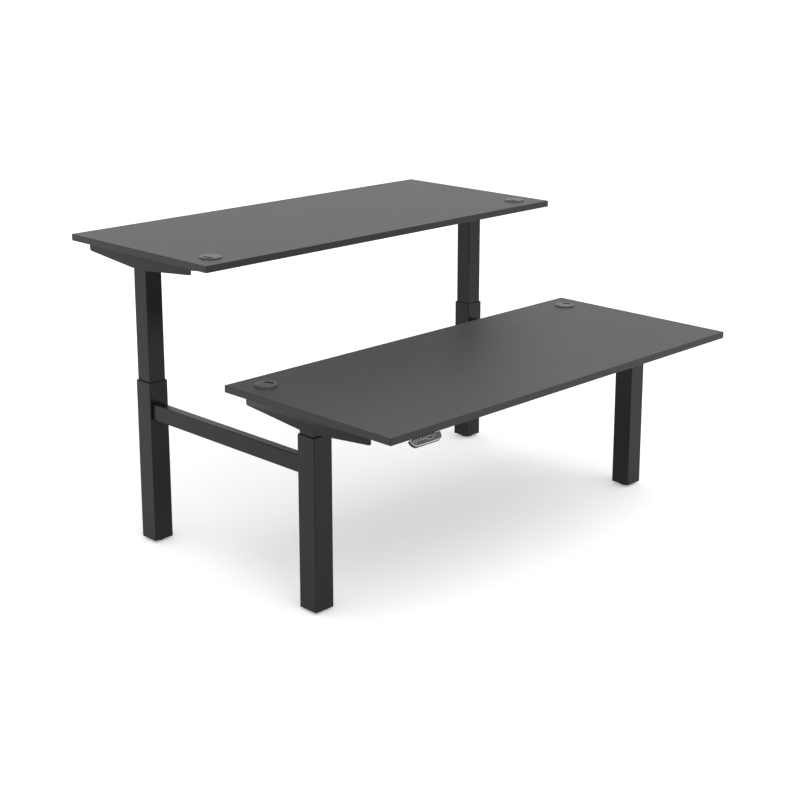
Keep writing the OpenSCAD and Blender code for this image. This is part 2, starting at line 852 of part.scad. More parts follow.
// Key cap, with the flange that holds it under the face
module key(desk, name) {
    flange_z = -key_skin - slide_gap - key_flange_t;
    flange_w = key_w + 2 * key_flange_w;
    color(plastic_black) in_desk(desk) at_handset() translate([key_x(name), -key_drop, flange_z]) {
        linear_extrude(key_proud - flange_z) rounded_rect(key_w, key_w, key_r);
        linear_extrude(key_flange_t) rounded_rect(flange_w, flange_w, key_r);
    }
}

// ---------------------------------------------------------------- control box

// Mouth of a socket, with +Z running into the box
module at_socket(s) {
    translate([s[0], box_y + box_d / 2 + socket_proud, board_top + s[2] / 2])
        rotate([90, 0, 0]) children();
}

module socket_holes() {
    for (s = sockets) at_socket(s) translate([0, 0, -past]) linear_extrude(socket_depth)
        square([s[1], s[2]], center = true);
}

module box_outline(inset) {
    rounded_rect(box_w - 2 * inset, box_d - 2 * inset, inside_r(box_r, inset));
}

// Cover with the tabs that screw to the desktop, and the tray that closes it from below
module control_box(desk) {
    tray_z = under_z - box_h;
    color(plastic_black) in_desk(desk) difference() {
        union() {
            translate([0, box_y, under_z - cover_h]) difference() {
                linear_extrude(cover_h) box_outline(0);
                translate([0, 0, -past]) linear_extrude(cover_h - box_wall + past)
                    box_outline(box_wall);
            }
            for (end = [-1, 1], way = [-1, 1])
                translate([end * (box_w + tab_w) / 2, box_y + way * tab_span / 2, under_z - tab_t])
                    linear_extrude(tab_t) square([tab_w + 2 * tab_root, tab_w], center = true);
            translate([0, box_y, tray_z]) difference() {
                linear_extrude(box_h - cover_h - seam) box_outline(0);
                translate([0, 0, box_wall]) linear_extrude(box_h) box_outline(box_wall);
            }
            for (sx = [-1, 1], sy = [-1, 1])
                translate([sx * (box_w / 2 - post_in), box_y + sy * (box_d / 2 - post_in), tray_z])
                    cylinder(r = post_r, h = box_wall + post_h);
        }
        wood_screw_holes(box_wood_screws(), wood_screw_r + hole_gap, tab_t + past);
        socket_holes();
    }
}

// Circuit board with its sockets and the larger things soldered on it
module control_board(desk) {
    inset = box_wall + board_gap;
    color(board_green) in_desk(desk) {
        translate([0, box_y, board_top - board_t]) linear_extrude(board_t)
            square([box_w - 2 * inset, box_d - 2 * inset], center = true);
        for (s = sockets) at_socket(s) difference() {
            linear_extrude(socket_depth) square([s[1], s[2]], center = true);
            translate([0, 0, -past]) linear_extrude(s[5] + past) square([s[3], s[4]], center = true);
        }
        for (step = [-1, 0, 1]) at_socket(mains_inlet)
            translate([step * pin_pitch, 0, socket_proud]) linear_extrude(socket_depth - socket_proud)
                square([pin_w, pin_h], center = true);
        for (b = board_blocks) translate([b[0], box_y + b[1], board_top])
            linear_extrude(b[4]) square([b[2], b[3]], center = true);
        for (c = capacitors) translate([c[0], box_y + c[1], board_top])
            cylinder(r = capacitor_r, h = capacitor_h);
    }
}

// ---------------------------------------------------------------- nodes

outer_column("front", "left");  // outer_column_front_left
outer_column("front", "right");  // outer_column_front_right
outer_column("rear", "left");  // outer_column_rear_left
outer_column("rear", "right");  // outer_column_rear_right
side_beam("left");  // side_beam_left
side_beam("right");  // side_beam_right
beam_screws();
nut_pillars();
spindle_nuts();
guide_collars();
levelling_foot("front", "left");  // levelling_foot_front_left
levelling_foot("front", "right");  // levelling_foot_front_right
levelling_foot("rear", "left");  // levelling_foot_rear_left
levelling_foot("rear", "right");  // levelling_foot_rear_right
desktop("front");  // desktop_front
edge_band("front");  // edge_band_front
port_liners("front");  // port_liners_front
port_lid("front", "left");  // port_lid_front_left
port_lid("front", "right");  // port_lid_front_right
arm("front", "left");  // arm_front_left
arm("front", "right");  // arm_front_right
cross_rails("front");  // cross_rails_front
inner_column("front", "left");  // inner_column_front_left
inner_column("front", "right");  // inner_column_front_right
lower_glides("front");  // lower_glides_front
motor_units("front");  // motor_units_front
spindle("front", "left");  // spindle_front_left
spindle("front", "right");  // spindle_front_right
control_box("front");  // control_box_front
control_board("front");  // control_board_front
handset_case("front");  // handset_case_front
handset_display("front");  // handset_display_front
key("front", "up");  // key_up_front
key("front", "down");  // key_down_front
key("front", "memory");  // key_memory_front
wood_screws("front");  // wood_screws_front
frame_screws("front");  // frame_screws_front
desktop("rear");  // desktop_rear
edge_band("rear");  // edge_band_rear
port_liners("rear");  // port_liners_rear
port_lid("rear", "left");  // port_lid_rear_left
port_lid("rear", "right");  // port_lid_rear_right
arm("rear", "left");  // arm_rear_left
arm("rear", "right");  // arm_rear_right
cross_rails("rear");  // cross_rails_rear
inner_column("rear", "left");  // inner_column_rear_left
inner_column("rear", "right");  // inner_column_rear_right
lower_glides("rear");  // lower_glides_rear
motor_units("rear");  // motor_units_rear
spindle("rear", "left");  // spindle_rear_left
spindle("rear", "right");  // spindle_rear_right
control_box("rear");  // control_box_rear
control_board("rear");  // control_board_rear
handset_case("rear");  // handset_case_rear
handset_display("rear");  // handset_display_rear
key("rear", "up");  // key_up_rear
key("rear", "down");  // key_down_rear
key("rear", "memory");  // key_memory_rear
wood_screws("rear");  // wood_screws_rear
frame_screws("rear");  // frame_screws_rear
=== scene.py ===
import json
import math

import bmesh
import bpy
from bpy.props import FloatProperty, FloatVectorProperty, PointerProperty
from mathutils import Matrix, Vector


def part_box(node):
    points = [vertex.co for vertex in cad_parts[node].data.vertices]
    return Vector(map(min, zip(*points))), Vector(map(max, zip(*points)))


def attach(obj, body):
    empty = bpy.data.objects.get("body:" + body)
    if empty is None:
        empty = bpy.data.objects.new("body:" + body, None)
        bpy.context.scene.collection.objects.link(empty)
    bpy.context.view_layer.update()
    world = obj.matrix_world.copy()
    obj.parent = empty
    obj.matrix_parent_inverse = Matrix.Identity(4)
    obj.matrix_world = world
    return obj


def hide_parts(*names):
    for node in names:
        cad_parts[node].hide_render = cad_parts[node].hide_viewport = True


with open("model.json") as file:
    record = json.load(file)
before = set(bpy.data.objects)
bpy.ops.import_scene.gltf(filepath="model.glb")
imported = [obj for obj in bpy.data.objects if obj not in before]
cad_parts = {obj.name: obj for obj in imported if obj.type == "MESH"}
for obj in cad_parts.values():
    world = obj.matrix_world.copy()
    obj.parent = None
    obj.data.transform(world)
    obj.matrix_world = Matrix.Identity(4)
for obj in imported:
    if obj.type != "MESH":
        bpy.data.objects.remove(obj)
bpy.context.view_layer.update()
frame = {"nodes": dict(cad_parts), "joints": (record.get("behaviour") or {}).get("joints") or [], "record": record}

# Looks of a back-to-back sit-stand bench: two electric desks on one shared pair of end frames.
# Lengths are metres. +Z is up, the floor is z = 0 and the desktops' long edges run along X.
# The front desk's user sits at -Y. Every finish is a recipe of shader nodes that reads the
# object's own coordinates, so it stays on its piece when a desk rises or a lid turns.

bl_info = {
    "name": "Sit-stand bench finishes",
    "version": (1, 0, 0),
    "blender": (4, 5, 0),
    "location": "3D View > Sidebar > Bench",
    "description": "Finishes, printed marks and a studio for a back-to-back sit-stand bench",
    "category": "Object",
}

DESKS = ("front", "rear")
SIDES = ("left", "right")
KEYS = ("down", "up", "memory")
MILLIMETRE = 0.001
TURN = 2 * math.pi
SPINDLE_LEAD = 10 * MILLIMETRE
FOOT_THREAD_RADIUS = 5 * MILLIMETRE
FOOT_THREAD_LEAD = 1.5 * MILLIMETRE
CIRCUIT_BOARD = 1.6 * MILLIMETRE
WELD_DISTANCE = 0.01 * MILLIMETRE
FLAT_ANGLE = math.radians(0.3)
ARRIS_ANGLE = math.radians(40)
SENSOR_WIDTH = 36
VIEW_DEPTH = 500
POWDER_IOR, LAMINATE_IOR, EDGE_BAND_IOR = 1.3, 1.37, 1.33
PLASTIC_IOR, HANDSET_IOR, GLASS_IOR = 1.44, 1.47, 1.5

nodes = frame["nodes"]
node_slots = {part["node"]: part["material_slot"] for part in frame["record"]["subparts"]}


def colour_property(name, description, default):
    return FloatVectorProperty(
        name=name, description=description, default=default, subtype="COLOR", size=3, min=0, max=1
    )


def length_property(name, description, default):
    return FloatProperty(
        name=name, description=description, default=default,
        subtype="DISTANCE", unit="LENGTH", min=0,
    )


def share_property(name, description, default):
    return FloatProperty(name=name, description=description, default=default, min=0, max=1)


class BenchFinishes(bpy.types.PropertyGroup):
    """Colours and gloss of the bench's materials"""

    powder: colour_property(
        "Powder coat", "Black powder coat of the steel frame", (0.0055, 0.0055, 0.0057)
    )
    powder_gloss: share_property("Powder coat roughness", "How matt the powder coat is", 0.3)
    laminate: colour_property(
        "Laminate", "Anthracite melamine of the desktops", (0.042, 0.042, 0.0425)
    )
    laminate_gloss: share_property("Laminate roughness", "How matt the laminate is", 0.46)
    edge: colour_property("Edge band", "Band glued round each desktop", (0.021, 0.021, 0.0213))
    port: colour_property("Cable ports", "Plastic of the cable ports", (0.045, 0.045, 0.046))
    handset: colour_property("Handset face", "Face of the handset", (0.06, 0.059, 0.06))
    handset_case: colour_property(
        "Handset case", "Sides and back of the handset", (0.012, 0.012, 0.012)
    )
    key: colour_property("Keys", "Key caps of the handset", (0.035, 0.035, 0.036))
    # This pale colour also draws the painted highlight along the handset faces' edges.
    ink_and_highlight: colour_property("Marks", "Printed arrows, numerals and outlines", (0.85, 0.85, 0.85))
    case: colour_property("Control box", "Plastic of the control boxes", (0.018, 0.018, 0.019))
    zinc: colour_property("Zinc plating", "Screws, pillars and spindles", (0.55, 0.56, 0.58))
    motor: colour_property(
        "Motor housing", "Cast and drawn metal of the motors", (0.32, 0.33, 0.35)
    )
    acetal: colour_property("Spindle nut", "Off-white acetal", (0.72, 0.70, 0.64))
    glide: colour_property(
        "Glides and feet", "Black plastic of glides and feet", (0.014, 0.014, 0.014)
    )
    solder_mask: colour_property("Circuit board", "Green solder mask", (0.012, 0.07, 0.03))


class BenchDetails(bpy.types.PropertyGroup):
    """Small sizes that the finishes and printed marks take"""

    edge_arris: length_property("Edge band arris", "Rounding along the edge band", 0.0012)
    sheet_arris: length_property("Sheet arris", "Rounding of folded and cut steel", 0.0006)
    plastic_arris: length_property("Plastic arris", "Rounding of moulded edges", 0.0005)
    mark_height: length_property("Mark height", "How far printed marks stand up", 0.00012)
    mark_stroke: length_property("Mark stroke", "Width of a printed line", 0.0011)
    # Painted highlight: width of the pale line along the handset face's lower edge and one end.
    painted_highlight_stroke: length_property("Trim stroke", "Width of the handset's trim line", 0.00154)
    mark_size: length_property("Mark size", "Width of an arrow and height of a numeral", 0.0048)
    mark_shift: length_property(
        "Mark shift", "How far a mark sits above the middle of its key", 0.0012
    )
    face_radius: length_property(
        "Face radius", "Rounding of the handset face's lower corners", 0.020
    )
    # Painted highlight: inset of that pale line from the face's edge.
    painted_highlight_inset: length_property(
        "Trim inset", "Distance from the face's edge to its trim line", 0.0009
    )
    lens_radius: length_property("Lens radius", "Radius of the handset's indicator lenses", 0.0012)


class BenchStudio(bpy.types.PropertyGroup):
    """Camera and light of the studio"""

    camera_place: FloatVectorProperty(
        name="Camera place", description="Where the camera stands", default=(-4.073, -4.034, 2.225),
        subtype="TRANSLATION", unit="LENGTH", size=3,
    )
    camera_heading: FloatProperty(
        name="Heading", description="Camera's heading, clockwise from +Y",
        default=math.radians(45.17), subtype="ANGLE", unit="ROTATION",
    )
    camera_dip: FloatProperty(
        name="Dip", description="How far the camera looks down",
        default=math.radians(13.72), subtype="ANGLE", unit="ROTATION",
    )
    lens: FloatProperty(
        name="Lens", description="Focal length on a 36 mm sensor, in millimetres",
        default=70.19, min=1,
    )
    shift: FloatProperty(
        name="Shift", description="Vertical lens shift, in frame widths", default=-0.12
    )
    sky: share_property("Sky", "Strength of the light from all round", 1.0)
    sun: FloatProperty(name="Sun", description="Strength of the key light", default=0.85, min=0)
    sun_spread: FloatProperty(
        name="Sun spread", description="How wide the key light looks, which softens its shadow",
        default=math.radians(50), subtype="ANGLE", unit="ROTATION",
    )
    sun_way: FloatVectorProperty(
        name="Sun's way", description="Direction in which the key light shines",
        default=(0.05, 0.6, -1), subtype="XYZ", size=3,
    )
    glow: share_property("Glow", "How far the floor is lifted towards white where it is seen", 0.3)
    floor: colour_property("Floor", "Colour of the studio floor", (0.85, 0.85, 0.85))
    floor_size: length_property("Floor size", "Side of the studio floor", 160.0)


# ---------------------------------------------------------------- shader recipes


class Signal:
    """One output of a shader node, which takes part in sums and comparisons as a number does."""

    def __init__(self, recipe, socket):
        self.recipe = recipe
        self.socket = socket

    def maths(self, operation, *values):
        return self.recipe.node("ShaderNodeMath", {"operation": operation}, dict(enumerate(values)))

    def __add__(self, other):
        return self.maths("ADD", self, other)

    def __sub__(self, other):
        return self.maths("SUBTRACT", self, other)

    def __rsub__(self, other):
        return self.maths("SUBTRACT", other, self)

    def __mul__(self, other):
        return self.maths("MULTIPLY", self, other)

    def __truediv__(self, other):
        return self.maths("DIVIDE", self, other)

    def __rtruediv__(self, other):
        return self.maths("DIVIDE", other, self)

    def __gt__(self, other):
        return self.maths("GREATER_THAN", self, other)

    def __lt__(self, other):
        return self.maths("LESS_THAN", self, other)

    __radd__ = __add__
    __rmul__ = __mul__


class Recipe:
    """The node tree of one material or world, built from the coordinates up to its output."""

    def __init__(self, owner):
        self.owner = owner
        owner.use_nodes = True
        self.tree = owner.node_tree
        self.tree.nodes.clear()

    def node(self, kind, settings=None, inputs=None, output=0):
        """Adds a node: its settings first, then the values or links of its sockets."""
        made = self.tree.nodes.new(kind)
        for name, value in (settings or {}).items():
            setattr(made, name, value)
        for key, value in (inputs or {}).items():
            if isinstance(value, Signal):
                self.tree.links.new(value.socket, made.inputs[key])
            else:
                made.inputs[key].default_value = value
        return Signal(self, made.outputs[output]) if made.outputs else None

    def coordinates(self, kind="Object"):
        return self.node("ShaderNodeTexCoord", output=kind)

    def axis(self, vector, letter):
        return self.node("ShaderNodeSeparateXYZ", inputs={0: vector}, output=letter)

    def along(self, vector, direction):
        """How far a vector reaches along a direction."""
        settings, inputs = {"operation": "DOT_PRODUCT"}, {0: vector, 1: direction}
        return self.node("ShaderNodeVectorMath", settings, inputs, output="Value")

    def stretched(self, vector, factors):
        return self.node("ShaderNodeVectorMath", {"operation": "MULTIPLY"}, {0: vector, 1: factors})

    def noise(self, vector, size, detail=2.0, roughness=0.5):
        """Noise from 0 to 1 whose features are about the size given."""
        inputs = {"Vector": vector, "Scale": 1 / size, "Detail": detail, "Roughness": roughness}
        return self.node("ShaderNodeTexNoise", inputs=inputs)

    def cells(self, vector, size):
        """Distance to the nearest of scattered points, which stand about the size given apart."""
        return self.node("ShaderNodeTexVoronoi", inputs={"Vector": vector, "Scale": 1 / size})

    def step(self, value, low, high):
        """0 below low and 1 above high, with a smooth change between them."""
        inputs = {"Value": value, "From Min": low, "From Max": high}
        return self.node("ShaderNodeMapRange", {"interpolation_type": "SMOOTHSTEP"}, inputs)

    def mix(self, share, colour, other):
        """Colour with a share of the other one in it."""
        a, b = (value if isinstance(value, Signal) else (*value, 1) for value in (colour, other))
        return self.node("ShaderNodeMix", {"data_type": "RGBA"}, {0: share, 6: a, 7: b}, output=2)

    def bump(self, height, distance, under=None):
        """Normal of a surface whose height goes from 0 to the distance as height goes to 1."""
        inputs = {"Height": height, "Distance": distance, "Strength": 1.0}
        if under:
            inputs["Normal"] = under
        return self.node("ShaderNodeBump", inputs=inputs)

    def principled(self, **inputs):
        """Ends the recipe in one Principled shader. An underscore stands for a space."""
        named = {name.replace("_", " "): value for name, value in inputs.items()}
        colour = named["Base Color"]
        if not isinstance(colour, Signal):
            named["Base Color"] = (*colour, 1)
        return self.ends_in(self.node("ShaderNodeBsdfPrincipled", inputs=named))

    def ends_in(self, shader):
        kind = "World" if isinstance(self.owner, bpy.types.World) else "Material"
        self.node(f"ShaderNodeOutput{kind}", inputs={"Surface": shader})
        return self.owner


def new_recipe(name):
    return Recipe(bpy.data.materials.new(name))


def shade(colour, factor):
    """A lighter or darker version of a colour."""
    return tuple(min(channel * factor, 1) for channel in colour)


# ---------------------------------------------------------------- materials


def powder_coat_material(finishes):
    """Fine-textured powder coat, with kick marks near the floor."""
    r = new_recipe("powder_coat")
    place = r.coordinates()
    grain = r.noise(place, 0.0011, detail=3)
    flow = r.noise(place, 0.007)
    cloud = r.noise(place, 0.16, detail=3)
    low = 1 - r.step(r.axis(place, "Z"), 0.03, 0.2)
    streaks = r.noise(r.stretched(place, (1, 1, 9)), 0.05, detail=4, roughness=0.7)
    scuff = r.step(streaks, 0.56, 0.68) * low
    worn = r.mix(scuff * 0.35, finishes.powder, shade(finishes.powder, 4))
    colour = r.mix(cloud * 0.5, worn, shade(finishes.powder, 1.8))
    fine = r.bump(grain, 0.00005)
    return r.principled(
        Base_Color=colour,
        Roughness=finishes.powder_gloss - 0.05 + cloud * 0.05 + grain * 0.05 + scuff * 0.14,
        IOR=POWDER_IOR,
        Normal=r.bump(flow, 0.00008, fine),
    )


def laminate_material(finishes):
    """Anthracite melamine: a fine pearl texture, faint clouding and wiping marks in its gloss."""
    r = new_recipe("desktop_laminate")
    place = r.coordinates()
    pearl = r.cells(place, 0.0009)
    fleck = r.step(r.noise(place, 0.0016, detail=3), 0.55, 0.75)
    cloud = r.noise(place, 0.22, detail=3)
    wiped = r.noise(r.stretched(place, (1, 2.5, 1)), 0.14, detail=5, roughness=0.65)
    base = r.mix(fleck * 0.4, finishes.laminate, shade(finishes.laminate, 1.6))
    return r.principled(
        Base_Color=r.mix(cloud * 0.35, base, shade(finishes.laminate, 0.82)),
        Roughness=finishes.laminate_gloss - 0.025 + wiped * 0.05,
        IOR=LAMINATE_IOR,
        Normal=r.bump(pearl, 0.00012),
    )


def edge_band_material(finishes):
    """Embossed plastic edging, a little smoother than the board."""
    r = new_recipe("edge_band")
    place = r.coordinates()
    emboss = r.noise(r.stretched(place, (1, 1, 4)), 0.003, detail=3)
    cloud = r.noise(place, 0.09, detail=2)
    return r.principled(
        Base_Color=r.mix(cloud * 0.4, finishes.edge, shade(finishes.edge, 1.3)),
        Roughness=0.36 + emboss * 0.1,
        IOR=EDGE_BAND_IOR,
        Normal=r.bump(emboss, 0.00008),
    )


def moulded_material(name, colour, roughness, grain_size=0.0009, grain_depth=0.00007):
    """Moulded plastic with a spark-eroded texture."""
    r = new_recipe(name)
    place = r.coordinates()
    grain = r.noise(place, grain_size, detail=3)
    cloud = r.noise(place, 0.03, detail=3)
    return r.principled(
        Base_Color=r.mix(cloud * 0.5, colour, shade(colour, 1.25)),
        Roughness=roughness - 0.05 + cloud * 0.05 + grain * 0.05,
        IOR=PLASTIC_IOR,
        Normal=r.bump(grain, grain_depth),
    )


def port_material(finishes):
    """Moulded plastic, with a painted highlight on the lids' upright rims and painted shade on the upright walls
    inside their slots and sleeves, which are also rougher.
    """
    r = new_recipe("port_plastic")
    place = r.coordinates()
    low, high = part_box("port_lid_front_left")
    width = high.x - low.x
    offsets = from_axis(r, place, port_middle())
    # Marks the lids' outer rims, where upright walls get a painted highlight; upright walls nearer the middle get
    # painted shade.
    outwards = r.step(length_of(r, offsets), width * 0.47, width * 0.485)
    upright = 1 - r.step(r.axis(r.coordinates("Normal"), "Z"), 0.3, 0.8)
    grain = r.noise(place, 0.0009, detail=3)
    cloud = r.noise(place, 0.03, detail=3)
    base = r.mix(cloud * 0.5, finishes.port, shade(finishes.port, 1.25))
    # Painted shade: upright walls in the slots and sleeves are darkened to a tenth.
    inside = r.mix(upright, base, shade(finishes.port, 0.1))
    # Painted highlight: upright walls at the lids' outer rims are lightened.
    painted_rim_highlight = r.mix(upright, base, shade(finishes.port, 2.2))
    return r.principled(
        Base_Color=r.mix(outwards, inside, painted_rim_highlight),
        Roughness=0.31 + cloud * 0.05 + grain * 0.05 + upright * (1 - outwards) * 0.4,
        IOR=PLASTIC_IOR,
        Normal=r.bump(grain, 0.00007),
    )


def handset_material(finishes, desk):
    """Brushed light face on a black case. The face is told by the direction that it looks in."""
    r = new_recipe(f"handset_plastic_{desk}")
    out = handset_axes(desk)[2]
    place = r.coordinates()
    face = r.step(r.along(r.coordinates("Normal"), out), 0.75, 0.95)
    brushed = r.noise(r.stretched(place, (0.06, 1, 1)), 0.0005, detail=3)
    grain = r.noise(place, 0.0008, detail=3)
    light = r.mix(brushed, shade(finishes.handset, 0.9), shade(finishes.handset, 1.1))
    return r.principled(
        Base_Color=r.mix(face, finishes.handset_case, light),
        Roughness=0.36 + grain * 0.08 + face * 0.05,
        Metallic=face * 0.25,
        IOR=HANDSET_IOR,
        Normal=r.bump(grain, 0.00004),
    )


def key_material(finishes):
    return moulded_material("key_plastic", finishes.key, 0.45, 0.0006, 0.00003)


def display_material(finishes, desk):
    """Smoked window in front and a green circuit board under it."""
    r = new_recipe(f"display_{desk}")
    out = handset_axes(desk)[2]
    low, high = span(nodes[f"handset_display_{desk}"], out)
    place = r.coordinates()
    depth = r.along(place, out)
    window = r.step(depth, (low + high) / 2, high)
    tint = r.noise(place, 0.012)
    pads = r.step(r.noise(place, 0.0012), 0.5, 0.54)
    board = r.mix(pads, finishes.solder_mask, (0.35, 0.22, 0.08))
    glass = r.mix(tint, (0.008, 0.009, 0.012), (0.016, 0.017, 0.021))
    return r.principled(
        Base_Color=r.mix(window, board, glass),
        Roughness=0.42 - window * 0.32 + tint * 0.04,
        IOR=GLASS_IOR,
    )


def print_and_highlight_material(finishes):
    """Pale printing colour, slightly uneven, which also draws the painted highlight along the handset faces'
    edges.
    """
    r = new_recipe("printed_marks_and_highlight")
    patch = r.noise(r.coordinates(), 0.0007, detail=3)
    return r.principled(
        Base_Color=r.mix(patch, shade(finishes.ink_and_highlight, 0.85), finishes.ink_and_highlight),
        Roughness=0.5 + patch * 0.1,
    )


def from_axis(r, place, middle):
    """Offsets along X and Y from the nearest of four upright axes, even about the middle."""
    values = [r.axis(place, letter) for letter in "XY"]
    return [value - value.maths("SIGN", value) * reach for value, reach in zip(values, middle)]


def length_of(r, offsets):
    away = r.node("ShaderNodeCombineXYZ", inputs=dict(enumerate(offsets)))
    return r.node("ShaderNodeVectorMath", {"operation": "LENGTH"}, {0: away}, output="Value")


def turned(r, place, radius, lead):
    """Ridges of a right-handed screw thread on each upright whose axis is a column's axis."""
    offsets = from_axis(r, place, column_middle())
    angle = offsets[0].maths("ARCTAN2", offsets[1], offsets[0]) / TURN
    turns = r.axis(place, "Z") / lead - angle
    phase = turns.maths("FRACT", turns)
    reach = length_of(r, offsets)
    ridge = r.step(phase, 0.1, 0.3) - r.step(phase, 0.6, 0.8)
    return ridge * (reach > radius * 0.8) * (1 - (reach > radius * 1.1))


def spindle_material(finishes):
    """Rolled steel spindle with a trapezoidal thread and a film of grease."""
    r = new_recipe("spindle_steel")
    place = r.coordinates()
    low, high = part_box("spindle_front_left")
    grease = r.noise(place, 0.02, detail=3)
    ridge = turned(r, place, (high.x - low.x) / 2, SPINDLE_LEAD)
    return r.principled(
        Base_Color=r.mix(grease * 0.5, finishes.zinc, shade(finishes.zinc, 0.7)),
        Metallic=0.95,
        Roughness=0.24 + grease * 0.14,
        Normal=r.bump(ridge, 0.0012),
    )


def zinc_material(finishes):
    """Bright zinc plating, tumbled and slightly clouded."""
    r = new_recipe("zinc_steel")
    place = r.coordinates()
    cloud = r.noise(place, 0.006, detail=4)
    tumbled = r.noise(place, 0.0008, detail=3)
    return r.principled(
        Base_Color=r.mix(cloud * 0.6, finishes.zinc, shade(finishes.zinc, 0.78)),
        Metallic=0.95,
        Roughness=0.26 + cloud * 0.12 + tumbled * 0.08,
        Normal=r.bump(tumbled, 0.00003),
    )


def motor_material(finishes):
    """Sand-cast mounting block and gearbox with a smooth drawn can between them."""
    r = new_recipe("motor_metal")
    place = r.coordinates()
    cast = r.noise(place, 0.0016, detail=4)
    stain = r.noise(place, 0.03, detail=4)
    return r.principled(
        Base_Color=r.mix(stain * 0.6, finishes.motor, shade(finishes.motor, 0.6)),
        Metallic=0.9,
        Roughness=0.36 + cast * 0.22,
        Normal=r.bump(cast, 0.00025),
    )


def foot_material(finishes):
    """Glass-filled plastic pad with a thread on its stem and dust near the floor."""
    r = new_recipe("foot_plastic")
    place = r.coordinates()
    grain = r.noise(place, 0.0012, detail=3)
    dust = r.noise(place, 0.008, detail=4) * (1 - r.step(r.axis(place, "Z"), 0.0, 0.008))
    ridge = turned(r, place, FOOT_THREAD_RADIUS, FOOT_THREAD_LEAD)
    return r.principled(
        Base_Color=r.mix(dust * 0.5, finishes.glide, shade(finishes.glide, 6)),
        Roughness=0.48 + grain * 0.14,
        IOR=GLASS_IOR,
        Normal=r.bump(ridge, 0.0005, r.bump(grain, 0.00008)),
    )


def circuit_material(finishes, desk):
    """Green board with copper tracks, and dark plastic and silver parts standing on it."""
    r = new_recipe(f"circuit_board_{desk}")
    place = r.coordinates()
    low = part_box(f"control_board_{desk}")[0]
    above = r.axis(place, "Z") - low.z
    track = r.step(r.cells(r.stretched(place, (1, 3, 1)), 0.006), 0.45, 0.5)
    board = r.mix(track * 0.6, finishes.solder_mask, (0.05, 0.16, 0.05))
    block = r.noise(r.stretched(place, (1, 1, 0.2)), 0.05)
    parts = r.mix(r.step(block, 0.6, 0.64), (0.02, 0.02, 0.022), (0.30, 0.30, 0.31))
    raised = r.step(above, CIRCUIT_BOARD, CIRCUIT_BOARD + 0.6 * MILLIMETRE)
    return r.principled(
        Base_Color=r.mix(raised, board, parts),
        Roughness=0.3 + block * 0.2,
        IOR=GLASS_IOR,
        Normal=r.bump(track, 0.00005),
    )


# ---------------------------------------------------------------- places on the frame


def joint_called(name):
    return next(joint for joint in frame["joints"] if joint["name"] == name)


def column_middle():
    """Distance of each column's axis from the bench's middle, along X and Y."""
    place = joint_called("spindle_turn_front_left")["pos_m"]
    return abs(place[0]), abs(place[1])


def port_middle():
    """Distance of each cable port's axis from the bench's middle, along X and Y."""
    place = joint_called("lid_turn_front_left")["pos_m"]
    return abs(place[0]), abs(place[1])


def handset_axes(desk):
    """A handset's own directions: along the desktop's edge, up the slope and out of its face."""
    out = -Vector(joint_called(f"key_up_press_{desk}")["axis"]).normalized()
    along = Vector((1 if desk == "front" else -1, 0, 0))
    return along, out.cross(along), out


def span(piece, direction):
    """Least and greatest reach of a piece's vertices along a direction."""
    reaches = [vertex.co.dot(direction) for vertex in piece.data.vertices]
    return min(reaches), max(reaches)


class Plane:
    """The outer face of a piece, with its own x, y and outward directions about its middle."""

    def __init__(self, node, axes):
        corners = [vertex.co for vertex in nodes[node].data.vertices]
        level = max(corner.dot(axes[2]) for corner in corners)
        face = [corner for corner in corners if corner.dot(axes[2]) > level - MILLIMETRE / 10]
        spans = [
            [reach(corner.dot(axis) for corner in face) for reach in (min, max)] for axis in axes
        ]
        self.axes = axes
        self.size = [high - low for low, high in spans]
        middles = (axis * (low + high) / 2 for axis, (low, high) in zip(axes, spans))
        self.origin = sum(middles, Vector())

    def point(self, x, y, z):
        along, up, out = self.axes
        return self.origin + along * x + up * y + out * z

    def place_of(self, other):
        """Where the middle of another plane lies in this one's x and y."""
        offset = other.origin - self.origin
        return offset.dot(self.axes[0]), offset.dot(self.axes[1])


# ---------------------------------------------------------------- meshes


def dress(slot, material, only=None):
    """Gives a finish to every node of a material slot, or to the node named."""
    for name, node_slot in node_slots.items():
        if node_slot == slot and only in (None, name):
            nodes[name].material_slots[0].material = material


def soften(name, width, segments=2):
    """Rounds a node's sharp edges with a small bevel."""
    weld = nodes[name].modifiers.new("weld", "WELD")
    weld.merge_threshold = WELD_DISTANCE
    flatten = nodes[name].modifiers.new("flatten", "DECIMATE")
    flatten.decimate_type = "DISSOLVE"
    flatten.angle_limit = FLAT_ANGLE
    bevel = nodes[name].modifiers.new("arris", "BEVEL")
    bevel.width = width
    bevel.segments = segments
    bevel.limit_method = "ANGLE"
    bevel.angle_limit = ARRIS_ANGLE
    bevel.harden_normals = True


def add_piece(name, mesh, material, body):
    """Links a new piece, which rides on a body and takes its finish from a slot."""
    mesh.materials.append(material)
    piece = bpy.data.objects.new(name, mesh)
    bpy.context.scene.collection.objects.link(piece)
    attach(piece, body)
    return piece


def mesh_from(bm, name):
    """Turns a bmesh into a mesh, with its faces looking outwards."""
    bmesh.ops.recalc_face_normals(bm, faces=bm.faces[:])
    mesh = bpy.data.meshes.new(name)
    bm.to_mesh(mesh)
    bm.free()
    return mesh


def rounded_loop(width, depth, radii, corner_steps):
    """Points round a rectangle about its middle, from its corner at +X +Y to the one at +X -Y."""
    points = []
    for turn, (sx, sy) in enumerate(((1, 1), (-1, 1), (-1, -1), (1, -1))):
        radius = radii[turn]
        middle = (sx * (width / 2 - radius), sy * (depth / 2 - radius))
        for step in range(corner_steps + 1):
            angle = (turn + step / corner_steps) * TURN / 4
            points.append((
                middle[0] + radius * math.cos(angle), middle[1] + radius * math.sin(angle)
            ))
    return points


